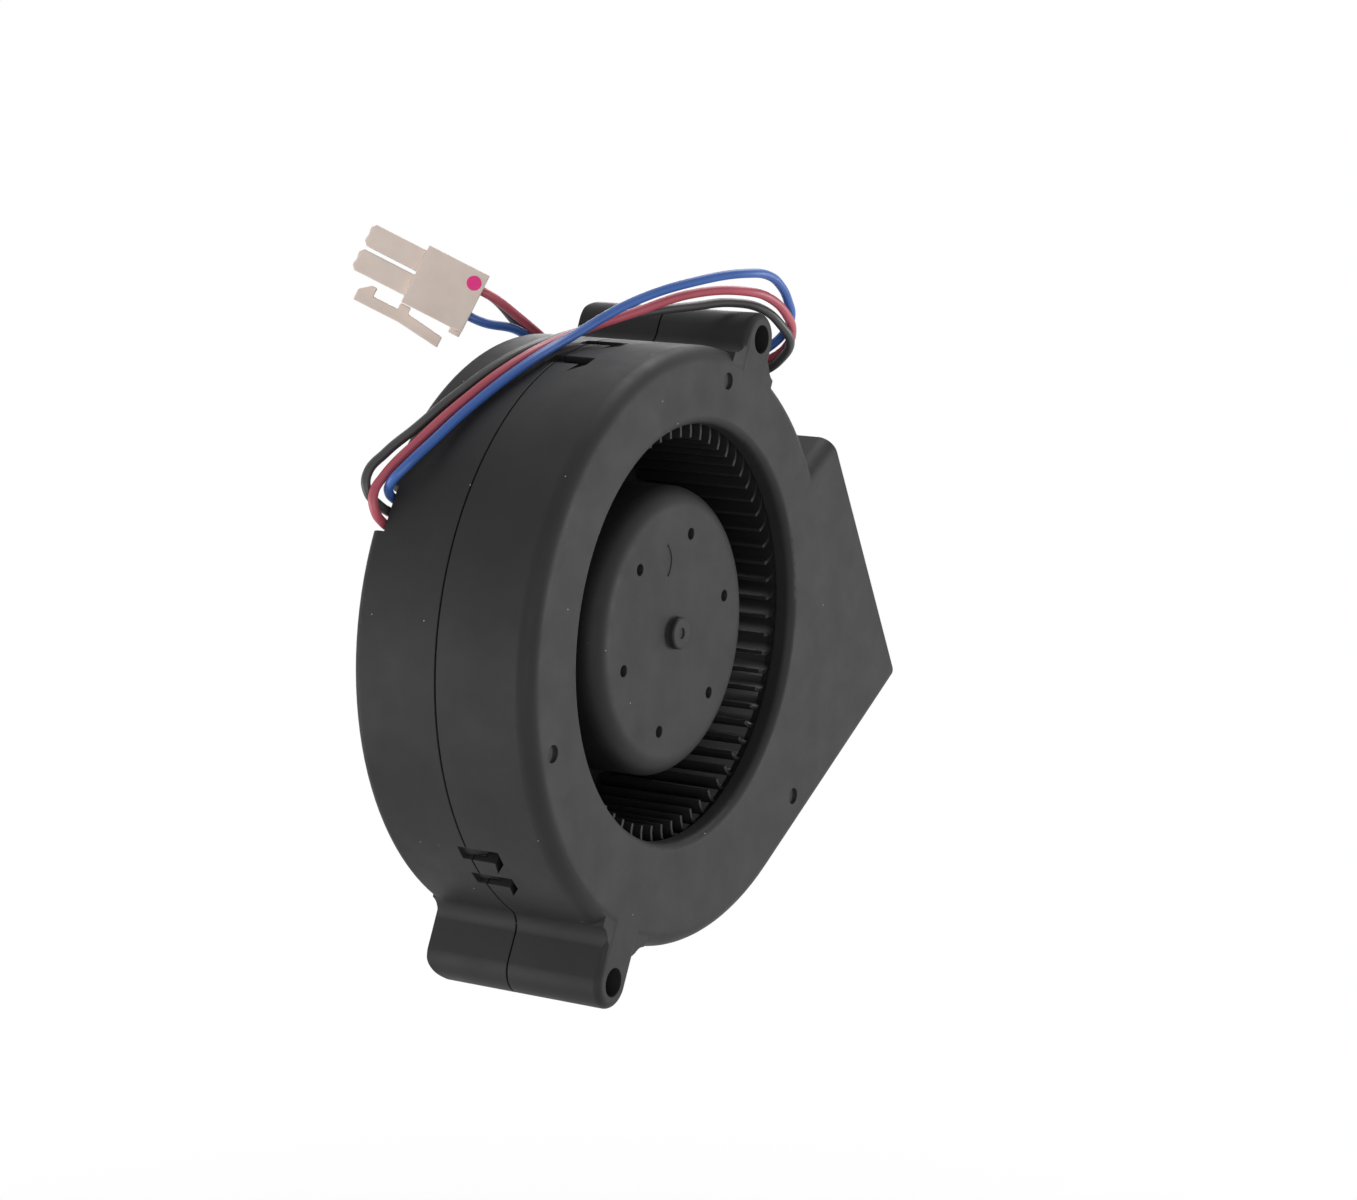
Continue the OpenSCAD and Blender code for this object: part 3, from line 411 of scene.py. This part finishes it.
def add_mesh(name, bm, material):
    mesh = bpy.data.meshes.new(name)
    bm.to_mesh(mesh)
    bm.free()
    mesh.materials.append(material)
    piece = bpy.data.objects.new(name, mesh)
    bpy.context.scene.collection.objects.link(piece)
    return piece


def add_piece(name, bm, material, body):
    piece = add_mesh(name, bm, material)
    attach(piece, body)
    return piece


# Moulded pieces: copies of the solids with their sharp edges broken, as a mould leaves them. Each
# node has its piece's name, body and slot and the width of its broken edges in millimetres

WELD_DISTANCE = 1e-6
FLAT_ANGLE = math.radians(0.5)
SHARP_ANGLE = math.radians(50)
CREASE_ANGLE = math.radians(36)
SLIVER_AREA = 0.004e-6
EDGE_STEPS = 2
ROUND_PROFILE = 0.5
MOULDED_PIECES = {
    "front_shell": ("front_half", "housing", "shell_plastic", 0.1),
    "rear_shell": ("rear_half", "housing", "shell_plastic", 0.1),
    "impeller": ("blade_wheel", "rotor", "impeller_plastic", 0.1),
    "plug_housing": ("plug_body", "housing", "plug_nylon", 0.14),
    "plug_latch": ("latch_lever", "latch", "plug_nylon", 0.16),
}


def make_moulded(node):
    name, body, slot, edge = MOULDED_PIECES[node]
    bm = bmesh.new()
    bm.from_mesh(frame["nodes"][node].data)
    bmesh.ops.remove_doubles(bm, verts=bm.verts[:], dist=WELD_DISTANCE)
    bmesh.ops.dissolve_limit(bm, angle_limit=FLAT_ANGLE, verts=bm.verts[:], edges=bm.edges[:])
    sharp = [e for e in bm.edges if e.is_manifold and e.calc_face_angle() > SHARP_ANGLE
             and min(f.calc_area() for f in e.link_faces) > SLIVER_AREA]
    bmesh.ops.bevel(bm, geom=sharp, offset=edge * MM, offset_type="OFFSET", segments=EDGE_STEPS,
                    profile=ROUND_PROFILE, affect="EDGES", clamp_overlap=False, material=-1)
    for face in bm.faces:
        face.smooth = True
    piece = add_piece(name, bm, FINISHES[slot], body)
    piece.data.set_sharp_from_angle(angle=CREASE_ANGLE)
    shading = piece.modifiers.new("even_shading", "WEIGHTED_NORMAL")
    shading.keep_sharp = True
    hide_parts(node)
    return piece


moulded = {node: make_moulded(node) for node in MOULDED_PIECES}


# Hub: the crescent witness mark of the mould, raised a little from the face

HUB_FACE_HEIGHT = 28.0
CRESCENT_PLACE = (-1.1, 11.5)
CRESCENT_RADIUS = 3.2
CRESCENT_ARC = math.radians(95)
CRESCENT_STEPS = 24
BEAD_RADIUS = 0.16
BEAD_SIDES = 10


def make_crescent():
    """A fine bead that bends like a bracket: a round section spun along its arc, half sunk in
    the face."""
    bm = bmesh.new()
    ring = bmesh.ops.create_circle(bm, cap_ends=True, segments=BEAD_SIDES, radius=BEAD_RADIUS)
    stand = Matrix.Translation((CRESCENT_RADIUS, 0, 0)) @ Matrix.Rotation(math.radians(90), 4, "X")
    turn = Matrix.Rotation(-CRESCENT_ARC / 2, 4, "Z")
    bmesh.ops.transform(bm, matrix=turn @ stand, verts=ring["verts"])
    bmesh.ops.spin(bm, geom=bm.faces[:], axis=(0, 0, 1), cent=(0, 0, 0), angle=CRESCENT_ARC,
                   steps=CRESCENT_STEPS, use_merge=False)
    bmesh.ops.remove_doubles(bm, verts=bm.verts[:], dist=WELD_DISTANCE)
    bmesh.ops.recalc_face_normals(bm, faces=bm.faces[:])
    for vert in bm.verts:
        x, y, height = vert.co
        vert.co = upright((x - CRESCENT_RADIUS + CRESCENT_PLACE[0], y + CRESCENT_PLACE[1],
                           height + HUB_FACE_HEIGHT))
    for face in bm.faces:
        face.smooth = True
    add_piece("hub_crescent", bm, FINISHES["impeller_plastic"], "rotor")


make_crescent()


# Plug: the paint dot on the face that looks at the camera

PLUG_HALF_WIDTH = 4.9
DOT_PLACE = (-1.7, 2.8)
DOT_RADIUS = 1.15
DOT_HEIGHT = 0.08
DOT_EDGE = DOT_HEIGHT * 0.8
DOT_EDGE_STEPS = 3
DOT_SIDES = 48


def make_paint_dot():
    bm = bmesh.new()
    bmesh.ops.create_circle(bm, cap_ends=True, segments=DOT_SIDES, radius=DOT_RADIUS)
    raised = bmesh.ops.extrude_face_region(bm, geom=bm.faces[:])
    top = [g for g in raised["geom"] if isinstance(g, bmesh.types.BMFace)]
    bmesh.ops.translate(bm, verts=list({v for f in top for v in f.verts}), vec=(0, 0, DOT_HEIGHT))
    rim = [e for f in top for e in f.edges]
    bmesh.ops.bevel(bm, geom=rim, offset=DOT_EDGE, offset_type="OFFSET", segments=DOT_EDGE_STEPS,
                    profile=ROUND_PROFILE, affect="EDGES", material=-1)
    bmesh.ops.recalc_face_normals(bm, faces=bm.faces[:])
    place = Matrix.Translation((*DOT_PLACE, PLUG_HALF_WIDTH))
    bmesh.ops.transform(bm, matrix=IN_PLUG @ place, verts=bm.verts[:])
    return add_piece("paint_dot", bm, DOT_PAINT, "housing")


paint_dot = make_paint_dot()


# Stage: pale floor, white surroundings and soft studio lamps, in metres and watts. The floor thins
# out between two distances from the middle, from one share of clearness to another

FLOOR_DROP = 0.12
FLOOR_SIZE = 1.5
FLOOR_FADE = (0.0, 0.3)
FLOOR_CLEAR = (0.45, 1.0)
FLOOR_CLOUD = Cloud(waves=3, detail=2)
FLOOR_DARK = (0.95, 0.95, 0.95)
FLOOR_LIGHT = (0.97, 0.97, 0.97)
FLOOR_ROUGHNESS = 0.9
FLOOR_SPECULAR = 0.1

WHITE = (1.0, 1.0, 1.0, 1.0)
WHITE_STRENGTH = 1.0
GLOW_AT_HORIZON = 0.5
GLOW_OVERHEAD = 0.05
GLOW_HEIGHTS = (0.0, 0.8)

# Each softbox has its place, width and power
SOFTBOX_AIM = Vector((0, 0, 0))
SOFTBOXES = {
    "top_softbox": ((0.5, 0.0, 0.75), 0.5, 4.6),
    "front_softbox": ((0.55, -0.82, -0.05), 0.5, 4.8),
    "side_softbox": ((-0.70, 0.70, -0.16), 0.8, 5.2),
    "rim_softbox": ((0.8, 0.48, 0.25), 0.5, 2.2),
    "fill_softbox": ((-0.78, -0.58, 0.1), 0.6, 2.3),
}


def make_floor():
    """Pale floor under the object that thins out into the white surroundings."""
    material = finish("floor_white")
    tree = material.node_tree
    shader = shader_of(material)
    tree.links.new(cloud_colour(tree, FLOOR_CLOUD, FLOOR_DARK, FLOOR_LIGHT),
                   shader.inputs["Base Color"])
    shader.inputs["Roughness"].default_value = FLOOR_ROUGHNESS
    shader.inputs["Specular IOR Level"].default_value = FLOOR_SPECULAR
    place = add_node(tree, "ShaderNodeTexCoord")
    away = add_node(tree, "ShaderNodeVectorMath", operation="LENGTH")
    tree.links.new(place.outputs["Object"], away.inputs[0])
    clear = add_node(tree, "ShaderNodeBsdfTransparent")
    thin = add_node(tree, "ShaderNodeMixShader")
    tree.links.new(spread(tree, away.outputs["Value"], *FLOOR_CLEAR, FLOOR_FADE),
                   thin.inputs["Fac"])
    tree.links.new(shader.outputs["BSDF"], thin.inputs[1])
    tree.links.new(clear.outputs["BSDF"], thin.inputs[2])
    tree.links.new(thin.outputs["Shader"], tree.nodes["Material Output"].inputs["Surface"])
    bm = bmesh.new()
    bmesh.ops.create_grid(bm, x_segments=1, y_segments=1, size=FLOOR_SIZE)
    lowest = cad_box[0][2]
    bmesh.ops.translate(bm, verts=bm.verts[:], vec=(0, 0, lowest - FLOOR_DROP))
    floor = add_mesh("floor", bm, material)


def make_surroundings():
    """White as seen by the camera and in reflections; elsewhere soft light that weakens from
    the horizon to overhead."""
    world = bpy.data.worlds.new("studio")
    world.use_nodes = True
    tree = world.node_tree
    glow = tree.nodes["Background"]
    glow.inputs["Color"].default_value = WHITE
    path = add_node(tree, "ShaderNodeLightPath")
    seen = path.outputs["Is Camera Ray"]
    for kind in ("Is Glossy Ray", "Is Transmission Ray"):
        either = add_node(tree, "ShaderNodeMath", operation="MAXIMUM")
        tree.links.new(seen, either.inputs[0])
        tree.links.new(path.outputs[kind], either.inputs[1])
        seen = either.outputs["Value"]
    place = add_node(tree, "ShaderNodeTexCoord")
    split = add_node(tree, "ShaderNodeSeparateXYZ")
    tree.links.new(place.outputs["Generated"], split.inputs["Vector"])
    soft = spread(tree, split.outputs["Z"], GLOW_AT_HORIZON, GLOW_OVERHEAD, GLOW_HEIGHTS)
    whiten = add_node(tree, "ShaderNodeMix", data_type="FLOAT")
    tree.links.new(seen, whiten.inputs["Factor"])
    tree.links.new(soft, whiten.inputs["A"])
    whiten.inputs["B"].default_value = WHITE_STRENGTH
    tree.links.new(whiten.outputs["Result"], glow.inputs["Strength"])
    bpy.context.scene.world = world


def add_softbox(name):
    place, width, power = SOFTBOXES[name]
    light = bpy.data.lights.new(name, "AREA")
    light.shape = "DISK"
    light.size = width
    light.energy = power
    lamp = bpy.data.objects.new(name, light)
    lamp.location = place
    aim = SOFTBOX_AIM - Vector(place)
    lamp.rotation_euler = aim.to_track_quat("-Z", "Y").to_euler()
    bpy.context.scene.collection.objects.link(lamp)


make_floor()
make_surroundings()
for softbox in SOFTBOXES:
    add_softbox(softbox)
bpy.context.scene.view_settings.view_transform = "Standard"
